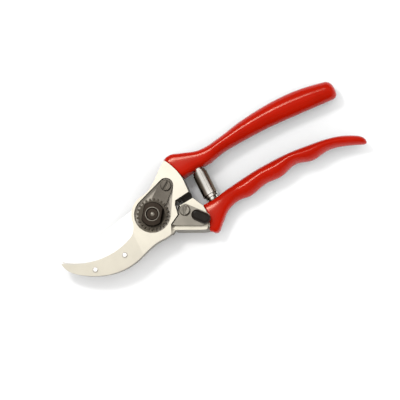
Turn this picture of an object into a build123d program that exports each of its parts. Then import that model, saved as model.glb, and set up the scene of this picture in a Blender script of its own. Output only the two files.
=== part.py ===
"""Bypass pruning shears, lying on their back with the toothed nut upwards.

Units are millimetres. The pivot axis is Z through the origin and z = 0 is the surface that the shears
lie on. +X runs from the hook to the ends of the handles. Two forged handles cross at the pivot: the hook
handle carries the counter blade on its back, and the blade handle carries the cutting blade on its front.
"""

import math
import os

from build123d import *

# --- stack along the pivot, from the surface upwards -------------------------------------------------
bolt_head_proud = 1.2
bolt_head_sunk = 1.0
tongue_thickness = 4.6
blade_thickness = 3.2
shear_gap = 0.05
counter_blade_thickness = 2.9
recess_web = 1.6
recess_depth = 3.4

tongue_bottom = bolt_head_proud
tongue_top = tongue_bottom + tongue_thickness
blade_top = tongue_top + blade_thickness
counter_bottom = blade_top + shear_gap
counter_top = counter_bottom + counter_blade_thickness
recess_floor = counter_top + recess_web
head_top = recess_floor + recess_depth

# --- clearances --------------------------------------------------------------------------------------
running_clearance = 0.05
seat_clearance = 0.02
tooth_clearance = 0.12
swing_gap = 0.5
cushion_gap = 0.3

# --- hook handle head --------------------------------------------------------------------------------
rim_radius = 18.0
recess_radius = 12.2
recess_wall = 1.9
segment_screw_at = (16.0, 13.2)
segment_end_radius = 5.0
hook_tip_drop = 3.4
hook_edge_round = 1.6
head_edge_round = 0.8
hook_body_bottom = 2.2

# --- pivot bolt, nut and locking segment -------------------------------------------------------------
shank_radius = 5.0
shank_flats = 8.4
thread_radius = 4.0
bolt_head_radius = 8.5
nut_tooth_count = 24
nut_tip_radius = 10.7
nut_root_radius = 9.2
nut_disc_thickness = 2.5
nut_hub_radius = 8.0
nut_hub_flats = 12.8
nut_hub_height = 2.6
nut_flats_angle = 53.0
segment_thickness = 2.1
segment_screw_head_radius = 3.5
segment_screw_head_height = 1.3
segment_screw_radius = 1.9
screw_slot_width = 0.9

# --- catch -------------------------------------------------------------------------------------------
catch_screw_at = (20.1, -7.4)
catch_thickness = 2.0
catch_lift = 0.1
catch_shoulder_radius = 2.5
catch_thread_radius = 2.0
catch_head_radius = 3.4
catch_head_height = 1.2
washer_thickness = 0.4
tab_height = 3.4
tab_overlap = 0.6
body_top = head_top - catch_thickness - catch_lift

# --- blades and rivets -------------------------------------------------------------------------------
tang_radius = 13.2
tang_flat_distance = 14.4
tang_flat_angle = -36.0
tongue_radius = 13.6
blade_tip = (-66.6, -0.9)
counter_rim = 1.5
rivets_at = {"rivet_tip": (-49.6, -15.2), "rivet_heel": (-28.0, -15.6)}
rivet_radius = 1.75
rivet_head_radius = 2.6
rivet_head_height = 0.9

# --- handles and grips -------------------------------------------------------------------------------
grip_wall = 1.6
bar_corner = 0.6
grip_middle = blade_top
mouth_overlap = 1
hook_mouth_centre = (-11.8, 7.8)
hook_mouth_radius = 41.5
hook_bar_lead = 7.7
hook_bar_start = hook_mouth_centre[0] + hook_mouth_radius - hook_bar_lead
blade_mouth_centre = (6.7, -13.5)
blade_mouth_radius = 26.7
blade_bar_lead = 11.4
blade_bar_start = blade_mouth_centre[0] + blade_mouth_radius - blade_bar_lead

# Loft stations: x, top edge, bottom edge, half of the thickness, corner radius as a share of the half size.
hook_grip_stations = [
    (hook_bar_start, 30.6, 13.0, 8.0, 0.5),
    (28.0, 30.0, 13.6, 8.0, 0.55),
    (35.0, 26.5, 14.0, 8.0, 0.7),
    (46.0, 22.9, 13.0, 8.2, 0.85),
    (62.0, 24.2, 15.0, 8.6, 0.88),
    (84.0, 27.8, 15.7, 9.0, 0.88),
    (108.0, 29.1, 15.2, 9.0, 0.88),
    (126.0, 27.6, 13.3, 8.8, 0.88),
    (137.0, 25.6, 12.7, 8.0, 0.88),
    (142.0, 24.0, 14.0, 6.4, 0.88),
    (144.4, 21.6, 16.6, 4.2, 0.88),
]
# The fingers press into hollows of the lower edge, a finger's width apart.
finger_pitch = 23.0
first_crest = 63.0
blade_grip_stations = [
    (blade_bar_start, -9.2, -31.0, 5.6, 0.5),
    (32.0, -9.7, -30.6, 5.6, 0.5),
    (37.0, -9.8, -27.6, 5.6, 0.6),
    (42.5, -9.5, -22.4, 6.1, 0.75),
    (first_crest - finger_pitch / 2, -7.3, -18.4, 7.4, 0.88),
    (first_crest, -6.2, -19.2, 8.4, 0.88),
    (first_crest + finger_pitch / 2, -5.3, -16.6, 8.9, 0.88),
    (first_crest + finger_pitch, -4.9, -17.0, 9.0, 0.88),
    (first_crest + 1.5 * finger_pitch, -5.0, -13.8, 9.0, 0.88),
    (first_crest + 2 * finger_pitch, -6.0, -17.0, 9.0, 0.88),
    (first_crest + 2.5 * finger_pitch, -7.8, -15.7, 8.6, 0.88),
    (131.0, -10.1, -17.9, 7.8, 0.88),
    (140.0, -14.0, -21.7, 6.6, 0.88),
    (144.6, -16.8, -22.7, 5.0, 0.88),
    (146.6, -18.6, -21.8, 3.4, 0.88),
]

# --- spring ------------------------------------------------------------------------------------------
spring_x = 39.8
spring_top_y = 13.0
spring_bottom_y = -9.2
spring_strip = 0.8
spring_strip_gap = 0.28
spring_turns = 2.5
spring_inner_radius = 2.3
spring_outer_length = 16.5
peg_radius = 2.0
peg_length = 4.0
peg_root = 4.0


def polar(radius, angle, centre=(0, 0)):
    """The point at a distance and an angle in degrees from a centre."""
    turn = math.radians(angle)
    return (centre[0] + radius * math.cos(turn), centre[1] + radius * math.sin(turn))


def save(part, name):
    """Labels a finished piece and writes it."""
    part.label = name
    export_step(part, f"parts/{name}.step")


def handle_loft(stations, inset):
    """The smooth bar through a handle's stations, or the same bar smaller by a wall."""
    with BuildPart() as bar:
        for x, top, bottom, half_height, corner in stations:
            section = Plane(origin=(x, (top + bottom) / 2, grip_middle), x_dir=(0, 1, 0), z_dir=(1, 0, 0))
            half_width = (top - bottom) / 2 - inset
            half_depth = half_height - inset
            with BuildSketch(section):
                RectangleRounded(2 * half_width, 2 * half_depth, corner * min(half_width, half_depth))
        loft()
    return bar.part


def bar_stations(stations):
    """Stations halfway between those of a grip, never wider than either, for the forged bar inside it."""
    bar = []
    for (x0, top0, bottom0, half0, _), (x1, top1, bottom1, half1, _) in zip(stations, stations[1:-3]):
        bar.append(((x0 + x1) / 2, min(top0, top1), max(bottom0, bottom1), min(half0, half1), bar_corner))
    return bar


def mouth(centre, radius):
    """The upright cylinder on whose wall a grip ends."""
    with BuildPart() as drum:
        with BuildSketch():
            with Locations(centre):
                Circle(radius)
        extrude(amount=head_top * 2)
    return drum.part


def nut_outline(grow=0.0):
    """The toothed outline of the nut, grown all round by a clearance."""
    pitch = 360 / nut_tooth_count
    with BuildSketch(mode=Mode.PRIVATE) as outline:
        Circle(nut_root_radius + grow)
        with BuildSketch(mode=Mode.PRIVATE) as tooth:
            with BuildLine():
                Polyline(
                    polar(nut_root_radius - 1, -0.30 * pitch),
                    polar(nut_root_radius, -0.30 * pitch),
                    polar(nut_tip_radius, -0.17 * pitch),
                    polar(nut_tip_radius, 0.17 * pitch),
                    polar(nut_root_radius, 0.30 * pitch),
                    polar(nut_root_radius - 1, 0.30 * pitch),
                    close=True,
                )
            make_face()
            if grow:
                offset(amount=grow, kind=Kind.INTERSECTION)
        with PolarLocations(0, nut_tooth_count):
            add(tooth.sketch)
    return outline.sketch


os.makedirs("parts", exist_ok=True)


# --- hook handle -------------------------------------------------------------------------------------
head_radius = recess_radius + recess_wall
swing_radius = rim_radius + swing_gap
nose_at = (8.6, -12.0)
catch_waist = (15.6, -8.2)
notch_gap = 0.8
release_path_angle = -113.0
cushion_span = (21.2, 27.6)
cushion_height = (4.6, 12.6)
cushion_socket_y = 7.2
hook_face_y = 3.9

with BuildSketch(mode=Mode.PRIVATE) as hook_outline:
    with BuildLine():
        Spline((-68.2, -1.0), (-56.2, -7.4), (-43.2, -10.6), (-28.1, -9.8), (-18.6, -6.6))
        ThreePointArc((-18.6, -6.6), (-15.6, -3.2), polar(head_radius, 172))
        ThreePointArc(polar(head_radius, 172), polar(head_radius, 135), polar(head_radius, 92))
        Spline(
            polar(head_radius, 92),
            (5.0, 15.8),
            (14.6, 22.9),
            polar(hook_mouth_radius, 31, hook_mouth_centre),
        )
        ThreePointArc(
            polar(hook_mouth_radius, 31, hook_mouth_centre),
            polar(hook_mouth_radius, 20, hook_mouth_centre),
            polar(hook_mouth_radius, 6, hook_mouth_centre),
        )
        Polyline(
            polar(hook_mouth_radius, 6, hook_mouth_centre),
            (29.0, hook_face_y),
            (20.6, hook_face_y - 0.5),
            (17.2, 2.0),
            (15.8, -1.0),
            (15.0, -6.0),
            polar(rim_radius, -42),
        )
        ThreePointArc(polar(rim_radius, -42), polar(rim_radius, -66), polar(rim_radius, -92))
        Spline(
            polar(rim_radius, -92),
            (-9.5, -18.9),
            (-21.6, -22.7),
            (-35.3, -23.7),
            (-48.2, -20.4),
            (-59.5, -14.0),
            (-66.8, -6.4),
            (-68.2, -1.0),
        )
    make_face()

with BuildSketch(mode=Mode.PRIVATE) as counter_outline:
    with BuildLine():
        Spline((-67.4, 0.2), (-56.0, -6.5), (-43.2, -9.7), (-28.1, -8.9), (-17.6, -5.0), (-9.0, 0.0))
        Polyline((-9.0, 0.0), (0.0, -12.0))
        Spline((0.0, -12.0), (-9.6, -17.3), (-21.8, -20.9), (-35.2, -21.8), (-47.4, -18.8), (-58.0, -12.9),
               (-65.0, -5.9), (-67.4, 0.2))
    make_face()
    Circle(head_radius - counter_rim)

hook_bar = handle_loft(bar_stations(hook_grip_stations), grip_wall)
hook_bar = hook_bar - mouth(hook_mouth_centre, hook_mouth_radius - mouth_overlap)
blade_bar = handle_loft(bar_stations(blade_grip_stations), grip_wall)
blade_bar = blade_bar - mouth(blade_mouth_centre, blade_mouth_radius - mouth_overlap)

with BuildPart() as hook_handle:
    # The head and the hook, on the back of which the counter blade is riveted.
    with BuildSketch(Plane.XY.offset(counter_top)):
        add(hook_outline.sketch)
    extrude(amount=head_top - counter_top)
    # The full depth of the forging, outside the sweep of the blade handle.
    with BuildSketch(Plane.XY.offset(hook_body_bottom)):
        add(hook_outline.sketch)
        with Locations((0, -50)):
            Rectangle(200, 100, mode=Mode.SUBTRACT)
        Circle(swing_radius, mode=Mode.SUBTRACT)
        with Locations((-50, 0)):
            Rectangle(100, 100, mode=Mode.SUBTRACT)
    extrude(amount=head_top - hook_body_bottom)
    # The hook grows thinner towards its tip.
    with BuildSketch(Plane.XZ.offset(-50)):
        with BuildLine():
            Polyline(
                (-17, head_top),
                (-70, head_top - hook_tip_drop),
                (-70, head_top + 5),
                (-17, head_top + 5),
                close=True,
            )
        make_face()
    extrude(amount=100, mode=Mode.SUBTRACT)
    # Teardrop recess of the nut and its locking segment.
    with BuildSketch(Plane.XY.offset(recess_floor)):
        Circle(recess_radius)
        with Locations(segment_screw_at):
            Circle(segment_end_radius)
        make_hull()
    extrude(amount=recess_depth, mode=Mode.SUBTRACT)
    # Notch that the nose of the catch locks in, with a ledge where the plate passes.
    with BuildSketch(Plane.XY.offset(body_top - catch_lift)):
        edge_turn = math.atan2(catch_waist[1] - nose_at[1], catch_waist[0] - nose_at[0])
        wall_turn = math.radians(release_path_angle)
        corner = (
            nose_at[0] - notch_gap * 0.78,
            nose_at[1] + notch_gap * 0.71,
        )
        with BuildLine():
            Polyline(
                corner,
                (corner[0] + 12 * math.cos(edge_turn), corner[1] + 12 * math.sin(edge_turn)),
                (30, -30),
                (corner[0] + 9 * math.cos(wall_turn), corner[1] + 9 * math.sin(wall_turn)),
                close=True,
            )
        make_face()
    extrude(amount=10, mode=Mode.SUBTRACT)
    # Hole of the bolt, with the flats that keep it from turning.
    with BuildSketch(Plane.XY.offset(counter_top)):
        Circle(shank_radius + seat_clearance)
        Rectangle(30, shank_flats + 2 * seat_clearance, mode=Mode.INTERSECT)
    extrude(amount=head_top, mode=Mode.SUBTRACT)
    with Locations((segment_screw_at[0], segment_screw_at[1], recess_floor)):
        Hole(segment_screw_radius, depth=6)
    for place in rivets_at.values():
        with Locations((place[0], place[1], head_top)):
            Hole(rivet_radius, depth=head_top)
    # Socket of the rubber cushion.
    with BuildSketch(Plane.XY.offset(cushion_height[0])):
        with Locations(((cushion_span[0] + cushion_span[1]) / 2, cushion_socket_y)):
            Rectangle(cushion_span[1] - cushion_span[0], 10, align=(Align.CENTER, Align.MAX))
    extrude(amount=cushion_height[1] - cushion_height[0], mode=Mode.SUBTRACT)
    # The bar inside the grip and the peg of the spring.
    add(hook_bar)
    with BuildSketch(Plane.XZ.offset(-(spring_top_y + peg_root))):
        with Locations((spring_x, grip_middle)):
            Circle(peg_radius)
    extrude(amount=peg_root + peg_length)
save(hook_handle.part, "hook_handle")

# --- counter blade and its rivets --------------------------------------------------------------------
with BuildPart() as counter_blade:
    with BuildSketch(Plane.XY.offset(counter_bottom)):
        add(counter_outline.sketch)
        Circle(shank_radius + seat_clearance, mode=Mode.SUBTRACT)
    extrude(amount=counter_blade_thickness)
    for place in rivets_at.values():
        with Locations((place[0], place[1], counter_top)):
            Hole(rivet_radius, depth=counter_top)
save(counter_blade.part, "counter_blade")

for rivet_name, place in rivets_at.items():
    hook_top = head_top - hook_tip_drop * (-17 - place[0]) / 53
    with BuildPart() as rivet:
        with BuildSketch(Plane.XY.offset(counter_bottom)):
            with Locations(place):
                Circle(rivet_radius - seat_clearance)
        extrude(amount=hook_top + rivet_head_height - counter_bottom)
        fillet(rivet.faces().sort_by(Axis.Z)[-1].edges(), rivet_head_height / 2)
    save(rivet.part, rivet_name)

# --- grips -------------------------------------------------------------------------------------------
for grip_name, stations, centre, radius, bar in [
    ("hook_handle_grip", hook_grip_stations, hook_mouth_centre, hook_mouth_radius, hook_bar),
    ("blade_handle_grip", blade_grip_stations, blade_mouth_centre, blade_mouth_radius, blade_bar),
]:
    with BuildPart() as grip:
        add(handle_loft(stations, 0))
        add(mouth(centre, radius), mode=Mode.SUBTRACT)
        add(bar, mode=Mode.SUBTRACT)
        with BuildSketch(Plane.XZ.offset(-(spring_top_y + peg_root))):
            with Locations((spring_x, grip_middle)):
                Circle(peg_radius + seat_clearance)
        extrude(amount=spring_top_y - spring_bottom_y + 2 * peg_root, mode=Mode.SUBTRACT)
    save(grip.part, grip_name)

# --- blade handle ------------------------------------------------------------------------------------
with BuildSketch(mode=Mode.PRIVATE) as blade_body_outline:
    with BuildLine():
        ThreePointArc(polar(swing_radius, -7), polar(swing_radius, -36), polar(swing_radius, -66))
        Polyline(polar(swing_radius, -66), (8.8, -19.8))
        Spline((8.8, -19.8), (14.0, -23.0), (21.0, -26.4), polar(blade_mouth_radius, -35, blade_mouth_centre))
        ThreePointArc(
            polar(blade_mouth_radius, -35, blade_mouth_centre),
            polar(blade_mouth_radius, -12, blade_mouth_centre),
            polar(blade_mouth_radius, 8.5, blade_mouth_centre),
        )
        Polyline(
            polar(blade_mouth_radius, 8.5, blade_mouth_centre),
            (28.6, -1.6),
            (19.4, -2.6),
            polar(swing_radius, -7),
        )
    make_face()

with BuildPart() as blade_handle:
    # Body beside the head of the other handle, up to the plane that the catch slides on.
    with BuildSketch(Plane.XY.offset(tongue_bottom)):
        add(blade_body_outline.sketch)
    extrude(amount=body_top - tongue_bottom)
    # Tongue below the blade, and the shoulder that the tang bears on.
    with BuildSketch(Plane.XY.offset(tongue_bottom)):
        with BuildLine():
            Polyline(
                polar(tongue_radius, 66),
                polar(swing_radius + 1, -8),
                polar(swing_radius + 1, -64),
                polar(tongue_radius, -126),
                close=True,
            )
        make_face()
        Circle(tongue_radius)
    extrude(amount=blade_top - tongue_bottom)
    with BuildSketch(Plane.XY.offset(tongue_top)):
        with BuildLine():
            side = polar(1, tang_flat_angle + 90)
            foot = polar(tang_flat_distance + seat_clearance, tang_flat_angle)
            Polyline(
                (foot[0] + 30 * side[0], foot[1] + 30 * side[1]),
                (foot[0] - 30 * side[0], foot[1] - 30 * side[1]),
                (-60, -30),
                (-60, 60),
                close=True,
            )
        make_face()
    extrude(amount=blade_thickness + 0.01, mode=Mode.SUBTRACT)
    # Bore of the bolt and the counterbore of its head.
    with Locations(Plane((0, 0, tongue_bottom), z_dir=(0, 0, -1))):
        CounterBoreHole(
            radius=shank_radius + running_clearance,
            counter_bore_radius=bolt_head_radius + 0.3,
            counter_bore_depth=bolt_head_sunk,
            depth=30,
        )
    add(blade_bar)
    with BuildSketch(Plane.XZ.offset(-(spring_bottom_y + peg_length))):
        with Locations((spring_x, grip_middle)):
            Circle(peg_radius)
    extrude(amount=peg_root + peg_length)
    with Locations((catch_screw_at[0], catch_screw_at[1], body_top)):
        Hole(catch_thread_radius, depth=8)
save(blade_handle.part, "blade_handle")

# --- cutting blade -----------------------------------------------------------------------------------
with BuildPart() as cutting_blade:
    with BuildSketch(Plane.XY.offset(tongue_top)):
        with BuildLine():
            spine = Polyline(blade_tip, (-47.0, 2.9), (-24.4, 7.6), (-6.0, 11.3))
            edge = Spline(
                blade_tip,
                (-59.6, -7.6),
                (-49.6, -12.4),
                (-38.0, -14.4),
                (-24.0, -13.6),
                (-3.0, -12.6),
            )
            Line(spine @ 1, edge @ 1)
        make_face()
        Circle(tang_radius)
        with BuildLine():
            Polyline(
                polar(tang_radius - 1, tang_flat_angle + 60),
                (foot[0] + 9 * side[0], foot[1] + 9 * side[1]),
                (foot[0] - 9 * side[0], foot[1] - 9 * side[1]),
                polar(tang_radius - 1, tang_flat_angle - 60),
                close=True,
            )
        make_face()
        Circle(shank_radius + running_clearance, mode=Mode.SUBTRACT)
    extrude(amount=blade_thickness)
save(cutting_blade.part, "cutting_blade")

# --- pivot bolt --------------------------------------------------------------------------------------
with BuildPart() as pivot_bolt:
    with BuildSketch():
        Circle(bolt_head_radius)
    extrude(amount=tongue_bottom + bolt_head_sunk - running_clearance)
    fillet(pivot_bolt.faces().sort_by(Axis.Z)[0].edges(), 0.6)
    with BuildSketch():
        Circle(shank_radius)
    extrude(amount=recess_floor)
    with BuildSketch(Plane.XY.offset(counter_bottom)):
        Rectangle(30, 30)
        Rectangle(30, shank_flats, mode=Mode.SUBTRACT)
    extrude(amount=recess_floor - counter_bottom, mode=Mode.SUBTRACT)
    with BuildSketch():
        Circle(thread_radius)
    extrude(amount=recess_floor + nut_disc_thickness + nut_hub_height - 0.4)
    chamfer(pivot_bolt.faces().sort_by(Axis.Z)[-1].edges(), 0.5)
    with BuildSketch(Plane.XY.offset(recess_floor + nut_disc_thickness + nut_hub_height - 0.4)):
        Circle(1.1)
    extrude(amount=-0.9, taper=30, mode=Mode.SUBTRACT)
save(pivot_bolt.part, "pivot_bolt")

# --- toothed nut -------------------------------------------------------------------------------------
with BuildPart() as pivot_nut:
    with BuildSketch(Plane.XY.offset(recess_floor)):
        add(nut_outline())
    extrude(amount=nut_disc_thickness)
    with BuildSketch(Plane.XY.offset(recess_floor + nut_disc_thickness)):
        Circle(nut_hub_radius)
        Rectangle(30, nut_hub_flats, rotation=nut_flats_angle, mode=Mode.INTERSECT)
    extrude(amount=nut_hub_height)
    chamfer(pivot_nut.faces().sort_by(Axis.Z)[-1].edges(), 0.5)
    with Locations((0, 0, head_top + 10)):
        Hole(thread_radius + seat_clearance)
save(pivot_nut.part, "pivot_nut")

# --- locking segment and its screw -------------------------------------------------------------------
segment_turn = math.degrees(math.atan2(segment_screw_at[1], segment_screw_at[0]))
with BuildPart() as lock_segment:
    with BuildSketch(Plane.XY.offset(recess_floor)):
        with Locations(segment_screw_at):
            Circle(segment_end_radius - 0.5)
        for side_angle in (24, -24):
            with Locations(polar(nut_tip_radius - 0.4, segment_turn + side_angle)):
                Circle(0.9)
        make_hull()
        add(nut_outline(tooth_clearance), mode=Mode.SUBTRACT)
        Circle(nut_root_radius + tooth_clearance, mode=Mode.SUBTRACT)
        with Locations(segment_screw_at):
            Circle(segment_screw_radius + seat_clearance, mode=Mode.SUBTRACT)
    extrude(amount=segment_thickness)
save(lock_segment.part, "lock_segment")

with BuildPart() as segment_screw:
    with BuildSketch(Plane.XY.offset(recess_floor + segment_thickness)):
        with Locations(segment_screw_at):
            Circle(segment_screw_head_radius)
    extrude(amount=segment_screw_head_height)
    fillet(segment_screw.faces().sort_by(Axis.Z)[-1].edges(), 0.5)
    with BuildSketch(Plane.XY.offset(recess_floor + segment_thickness)):
        with Locations(segment_screw_at):
            Circle(segment_screw_radius - seat_clearance)
    extrude(amount=-(segment_thickness + 5.5))
    with BuildSketch(Plane.XY.offset(recess_floor + segment_thickness + segment_screw_head_height)):
        with Locations(segment_screw_at):
            Rectangle(3 * segment_screw_head_radius, screw_slot_width, rotation=35)
    extrude(amount=-0.8, mode=Mode.SUBTRACT)
save(segment_screw.part, "segment_screw")

# --- thumb catch, its tab, screw and spring washer ---------------------------------------------------
catch_bottom = body_top + catch_lift
catch_top = catch_bottom + catch_thickness
thumb_end = (28.6, -17.6)
tab_at = (27.7, -16.1)
tab_size = (13.0, 7.0)
tab_turn = -50.0

with BuildPart() as thumb_catch:
    with BuildSketch(Plane.XY.offset(catch_bottom)):
        with BuildLine():
            Polyline((10.4, -13.4), nose_at, catch_waist)
            ThreePointArc(catch_waist, (17.6, -4.4), (22.6, -3.7))
            Line((22.6, -3.7), (32.0, -14.8))
            ThreePointArc((32.0, -14.8), (32.9, -19.4), (29.0, -22.0))
            Polyline((29.0, -22.0), (25.6, -21.3), (10.4, -13.4))
        make_face()
        with Locations(catch_screw_at):
            Circle(catch_shoulder_radius + running_clearance, mode=Mode.SUBTRACT)
    extrude(amount=catch_thickness)
save(thumb_catch.part, "thumb_catch")

with BuildPart() as catch_tab:
    with BuildSketch(Plane.XY.offset(catch_top)):
        with Locations(tab_at):
            SlotOverall(tab_size[0], tab_size[1], rotation=tab_turn)
    extrude(amount=tab_height)
    fillet(catch_tab.faces().sort_by(Axis.Z)[-1].edges(), tab_height * 0.6)
save(catch_tab.part, "catch_tab")

with BuildPart() as catch_spring_washer:
    with BuildSketch(Plane.XY.offset(catch_top)):
        with Locations(catch_screw_at):
            Circle(catch_head_radius + 0.3)
            Circle(catch_shoulder_radius + running_clearance, mode=Mode.SUBTRACT)
    extrude(amount=washer_thickness)
save(catch_spring_washer.part, "catch_spring_washer")

with BuildPart() as catch_screw:
    with BuildSketch(Plane.XY.offset(catch_top + washer_thickness)):
        with Locations(catch_screw_at):
            Circle(catch_head_radius)
    extrude(amount=catch_head_height)
    fillet(catch_screw.faces().sort_by(Axis.Z)[-1].edges(), 0.5)
    with BuildSketch(Plane.XY.offset(body_top)):
        with Locations(catch_screw_at):
            Circle(catch_shoulder_radius)
    extrude(amount=catch_top + washer_thickness - body_top)
    with BuildSketch(Plane.XY.offset(body_top)):
        with Locations(catch_screw_at):
            Circle(catch_thread_radius - seat_clearance)
    extrude(amount=-7.5)
    with BuildSketch(Plane.XY.offset(catch_top + washer_thickness + catch_head_height)):
        with Locations(catch_screw_at):
            Rectangle(3 * catch_head_radius, screw_slot_width, rotation=60)
    extrude(amount=-0.7, mode=Mode.SUBTRACT)
save(catch_screw.part, "catch_screw")

# --- rubber cushion ----------------------------------------------------------------------------------
with BuildPart() as bumper_cushion:
    with BuildSketch(Plane.XY.offset(cushion_height[0] + seat_clearance)):
        with BuildLine():
            Polyline(
                (cushion_span[0] + seat_clearance, cushion_socket_y - seat_clearance),
                (cushion_span[1] - seat_clearance, cushion_socket_y - seat_clearance),
                (cushion_span[1] - seat_clearance, -1.7 + cushion_gap),
                (cushion_span[0] + seat_clearance, -2.4 + cushion_gap),
                close=True,
            )
        make_face()
    extrude(amount=cushion_height[1] - cushion_height[0] - 2 * seat_clearance)
save(bumper_cushion.part, "bumper_cushion")

# --- volute spring -----------------------------------------------------------------------------------
spring_pitch = spring_strip + spring_strip_gap
spring_outer_radius = spring_inner_radius + spring_strip + spring_turns * spring_pitch
spring_half = (spring_top_y - spring_bottom_y) / 2
spring_centre_y = (spring_top_y + spring_bottom_y) / 2
with BuildPart() as volute_spring:
    with BuildSketch(Plane(origin=(spring_x, spring_top_y, grip_middle), x_dir=(1, 0, 0), z_dir=(0, -1, 0))):
        steps = [i / 8 for i in range(int(8 * spring_turns) + 1)]
        inside = [polar(spring_inner_radius + t * spring_pitch, 360 * t) for t in steps]
        outside = [polar(spring_inner_radius + spring_strip + t * spring_pitch, 360 * t) for t in steps]
        with BuildLine():
            Spline(*inside)
            Line(inside[-1], outside[-1])
            Spline(*outside)
            Line(outside[0], inside[0])
        make_face()
    extrude(amount=2 * spring_half)
    with BuildPart(mode=Mode.INTERSECT):
        with BuildSketch(Plane.XY.offset(grip_middle)):
            with BuildLine():
                Polyline(
                    (spring_x, spring_top_y),
                    (spring_x + spring_inner_radius + 1.2, spring_top_y),
                    (spring_x + spring_outer_radius, spring_centre_y + spring_outer_length / 2 - 3),
                    (spring_x + spring_outer_radius, spring_centre_y - spring_outer_length / 2 + 3),
                    (spring_x + spring_inner_radius + 1.2, spring_bottom_y),
                    (spring_x, spring_bottom_y),
                    close=True,
                )
            make_face()
        revolve(axis=Axis((spring_x, 0, grip_middle), (0, 1, 0)))
save(volute_spring.part, "volute_spring")
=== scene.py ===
"""Bypass pruning shears: looks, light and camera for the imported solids."""

import math

import bmesh
import bpy
from bpy.props import FloatProperty, FloatVectorProperty, IntProperty, PointerProperty
from mathutils import Matrix, Vector


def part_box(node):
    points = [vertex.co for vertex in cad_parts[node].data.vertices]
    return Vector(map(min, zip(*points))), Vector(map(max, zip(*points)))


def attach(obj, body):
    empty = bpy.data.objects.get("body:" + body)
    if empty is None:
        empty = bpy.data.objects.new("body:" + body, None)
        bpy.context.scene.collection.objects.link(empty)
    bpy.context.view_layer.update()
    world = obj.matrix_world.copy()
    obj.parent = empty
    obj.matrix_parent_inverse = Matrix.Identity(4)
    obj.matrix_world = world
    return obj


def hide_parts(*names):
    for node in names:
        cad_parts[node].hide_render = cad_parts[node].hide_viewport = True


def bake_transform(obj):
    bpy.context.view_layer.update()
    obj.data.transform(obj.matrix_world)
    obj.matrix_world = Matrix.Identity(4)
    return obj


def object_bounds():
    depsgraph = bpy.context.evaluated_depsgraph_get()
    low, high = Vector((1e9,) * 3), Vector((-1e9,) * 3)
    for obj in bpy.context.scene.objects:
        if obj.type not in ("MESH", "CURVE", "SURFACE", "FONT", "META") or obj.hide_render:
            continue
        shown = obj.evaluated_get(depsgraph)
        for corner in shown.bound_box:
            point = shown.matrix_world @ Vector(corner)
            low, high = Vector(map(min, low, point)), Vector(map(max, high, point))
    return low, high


bl_info = {
    "name": "Bypass Pruning Shears",
    "version": (1, 0, 0),
    "blender": (4, 5, 0),
    "location": "3D View > Sidebar > Shears",
    "description": "Builds the finish, light and camera of a pair of bypass pruning shears",
    "category": "Add Mesh",
}

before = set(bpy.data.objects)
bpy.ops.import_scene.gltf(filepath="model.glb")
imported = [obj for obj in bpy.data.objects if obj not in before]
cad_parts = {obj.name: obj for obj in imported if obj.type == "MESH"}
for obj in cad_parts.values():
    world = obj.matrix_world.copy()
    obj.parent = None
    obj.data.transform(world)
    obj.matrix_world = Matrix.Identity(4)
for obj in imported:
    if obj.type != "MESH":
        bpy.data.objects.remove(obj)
CAD_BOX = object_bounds()
MM = 0.001


# --- settings ----------------------------------------------------------------------------------------


def colour(name, description, default):
    """A colour setting of the panel."""
    return FloatVectorProperty(
        name=name, description=description, default=default, size=4, min=0.0, max=1.0, subtype="COLOR"
    )


def length(name, description, default):
    """A length setting of the panel, in metres."""
    return FloatProperty(name=name, description=description, default=default, min=0.0, unit="LENGTH")


def angle(name, description, degrees):
    """An angle setting of the panel."""
    return FloatProperty(name=name, description=description, default=math.radians(degrees), subtype="ANGLE")


class ShearsColours(bpy.types.PropertyGroup):
    """Colours of the lacquer, steels, vinyl and stage, and of painted shade."""

    lacquer: colour("Lacquer", "Champagne lacquer of the hook's forging", (0.64, 0.60, 0.505, 1.0))
    # Painted shade: a slightly darker copy of the lacquer, for the blade's forging.
    lacquer_painted_shade: colour("Lacquer Shade", "Duller lacquer of the blade's forging", (0.64, 0.60, 0.50, 1.0))
    # Painted shade: the lacquer's colour where a face turns down at an edge.
    painted_edge_shade: colour("Edge Shade", "Lacquer where it turns down at an edge", (0.20, 0.175, 0.135, 1.0))
    bare_floor: colour("Machined Floor", "Bare metal of the machined recess", (0.46, 0.42, 0.36, 1.0))
    blade: colour("Blade", "Polished face of the cutting blade", (0.90, 0.885, 0.855, 1.0))
    counter_blade: colour("Counter Blade", "Ground steel of the counter blade", (0.60, 0.58, 0.54, 1.0))
    steel: colour("Steel", "Segment, its screw and the washer", (0.115, 0.102, 0.085, 1.0))
    catch_steel: colour("Catch Steel", "Brighter plate of the catch", (0.25, 0.23, 0.195, 1.0))
    dark_steel: colour("Dark Steel", "Toothed nut and bolt", (0.034, 0.026, 0.020, 1.0))
    disc_steel: colour("Disc Steel", "Worn face of the nut's toothed disc", (0.060, 0.051, 0.040, 1.0))
    spring: colour("Spring", "Bright strip of the volute spring", (0.98, 0.95, 0.90, 1.0))
    # Painted shade: brown on the spring's sides, where its faces turn down.
    spring_painted_shade: colour("Spring Shade", "Brown temper colour on the spring's sides", (0.13, 0.095, 0.06, 1.0))
    vinyl: colour("Vinyl", "Red dipped vinyl of the grips", (0.43, 0.007, 0.0005, 1.0))
    black: colour("Black", "Rubber cushion and the tab of the catch", (0.012, 0.010, 0.008, 1.0))
    floor: colour("Floor", "Plain pale floor", (0.93, 0.93, 0.93, 1.0))


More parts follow.
